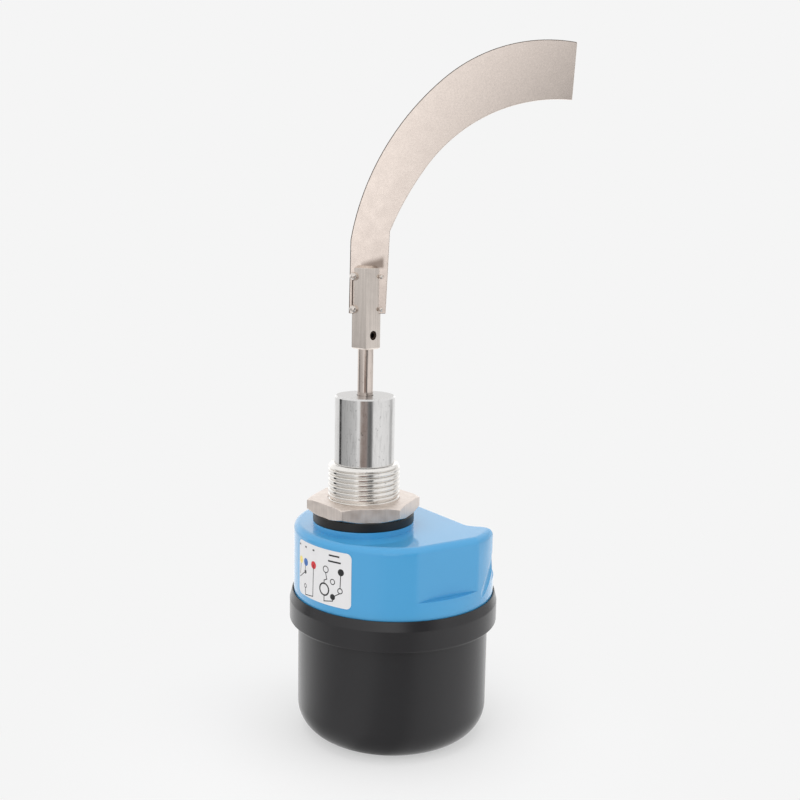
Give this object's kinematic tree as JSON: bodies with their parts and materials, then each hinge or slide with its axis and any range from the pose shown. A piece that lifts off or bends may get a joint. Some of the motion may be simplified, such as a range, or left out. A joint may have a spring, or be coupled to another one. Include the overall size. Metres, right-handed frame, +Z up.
{
  "type": "rotary paddle level switch",
  "caption": "Rotary paddle level switch: a motor turns a curved blade above a threaded spigot, and material that stalls it swings the motor against microswitches.",
  "frame": {"origin": "on the axis of the paddle shaft, at the sealing face where the flange gasket rests on the housing's boss", "axes": "+Z up along the paddle shaft, towards the blade; +X from the shaft's axis to the axis of the round housing and to the cable entry"},
  "size_m": [0.1118, 0.0992, 0.323],
  "materials": {
    "blue_paint": "glossy powder coat over a cast can",
    "polished_steel": "turned and polished stainless steel",
    "stainless_bar": "drawn stainless bar",
    "stainless_sheet": "satin rolled stainless sheet",
    "weld_metal": "tack weld, lightly tinted",
    "dark_steel": "black oxide",
    "nut_steel": "nickel plated, machined faces",
    "black_rubber": "moulded nitrile",
    "black_plastic": "moulded, semi-gloss",
    "white_label": "printed film",
    "bearing_steel": "ground steel",
    "aluminium_tube": "drawn tube",
    "spring_steel": "hard drawn",
    "zinc_steel": "zinc plated",
    "bronze": "sintered bronze",
    "brass_screw": "turned brass",
    "motor_steel": "pressed can, satin",
    "red_plastic": "moulded",
    "white_plastic": "moulded"
  },
  "bodies": {
    "housing": {"housing": "blue_paint", "spigot": "polished_steel", "spigot_o_ring": "black_rubber", "flange_screws": "zinc_steel", "flange_gasket": "black_rubber", "shaft_seal": "black_rubber", "bearing_outer_rings": "bearing_steel", "bearing_spacer": "aluminium_tube", "bearing_clip": "spring_steel", "wiring_label": "white_label", "base_plate": "zinc_steel", "base_screws": "zinc_steel", "swing_bush": "bronze", "stop_pin": "zinc_steel", "fixed_spring_stud": "zinc_steel", "return_spring": "spring_steel", "switch_bracket": "zinc_steel", "bracket_screws": "zinc_steel", "switch_case_1": "black_plastic", "switch_case_2": "black_plastic", "switch_pivots": "zinc_steel", "switch_screws": "zinc_steel", "switch_nuts": "zinc_steel", "terminal_block": "white_plastic", "clamp_screws": "brass_screw", "block_screws": "zinc_steel", "earth_screw": "brass_screw", "earth_washer": "brass_screw"},
    "paddle": {"paddle_shaft": "stainless_bar", "shaft_clips": "spring_steel", "bearing_inner_rings": "bearing_steel", "paddle_holder": "stainless_bar", "holder_set_screw": "dark_steel", "paddle_blade": "stainless_sheet", "weld_beads": "weld_metal", "coupling": "zinc_steel", "coupling_pins": "zinc_steel", "motor_spindle": "bearing_steel"},
    "motor": {"swing_plate": "zinc_steel", "swing_hub": "zinc_steel", "hub_clip": "spring_steel", "gear_motor": "motor_steel", "motor_screws": "zinc_steel", "swing_spring_stud": "zinc_steel"},
    "lever_1": {"switch_lever_1": "spring_steel"},
    "lever_2": {"switch_lever_2": "spring_steel"},
    "plunger_1": {"switch_plunger_1": "red_plastic"},
    "plunger_2": {"switch_plunger_2": "red_plastic"},
    "cover": {"cover": "black_plastic", "rim_gasket": "black_rubber"},
    "lock_nut": {"lock_nut": "nut_steel"}
  },
  "joints": [
    {"name": "paddle_spin", "type": "hinge", "parent": "housing", "child": "paddle", "pos_m": [0, 0, 0], "axis": [0, 0, 1], "continuous": true},
    {"name": "motor_swing", "type": "hinge", "parent": "housing", "child": "motor", "pos_m": [0, 0, -0.044], "axis": [0, 0, -1], "range_deg": [0, 3], "stiffness_Nm_per_rad": 1.2, "springref_deg": -1.72, "deforming": ["return_spring"]},
    {"name": "lever_1_turn", "type": "hinge", "parent": "housing", "child": "lever_1", "pos_m": [0.0455, -0.0046, -0.046], "axis": [-1, 0, 0], "range_deg": [0, 10.5]},
    {"name": "plunger_1_press", "type": "slide", "parent": "housing", "child": "plunger_1", "axis": [0, -1, 0], "range_m": [0, 0.0012]},
    {"name": "lever_2_turn", "type": "hinge", "parent": "housing", "child": "lever_2", "pos_m": [0.0529, -0.0046, -0.046], "axis": [-1, 0, 0], "range_deg": [0, 10.5]},
    {"name": "plunger_2_press", "type": "slide", "parent": "housing", "child": "plunger_2", "axis": [0, -1, 0], "range_m": [0, 0.0012]},
    {"name": "cover_draw", "type": "slide", "parent": "housing", "child": "cover", "axis": [0, 0, -1], "range_m": [0, 0.075]},
    {"name": "nut_travel", "type": "slide", "parent": "housing", "child": "lock_nut", "axis": [0, 0, 1], "range_m": [0, 0.01616]}
  ],
  "couplings": [
    {"joint": "lever_1_turn", "follows": "motor_swing", "ratio": 2.967},
    {"joint": "plunger_1_press", "follows": "motor_swing", "m_per_rad": 0.01658},
    {"joint": "lever_2_turn", "follows": "motor_swing", "ratio": 3.445},
    {"joint": "plunger_2_press", "follows": "motor_swing", "m_per_rad": 0.01921}
  ]
}
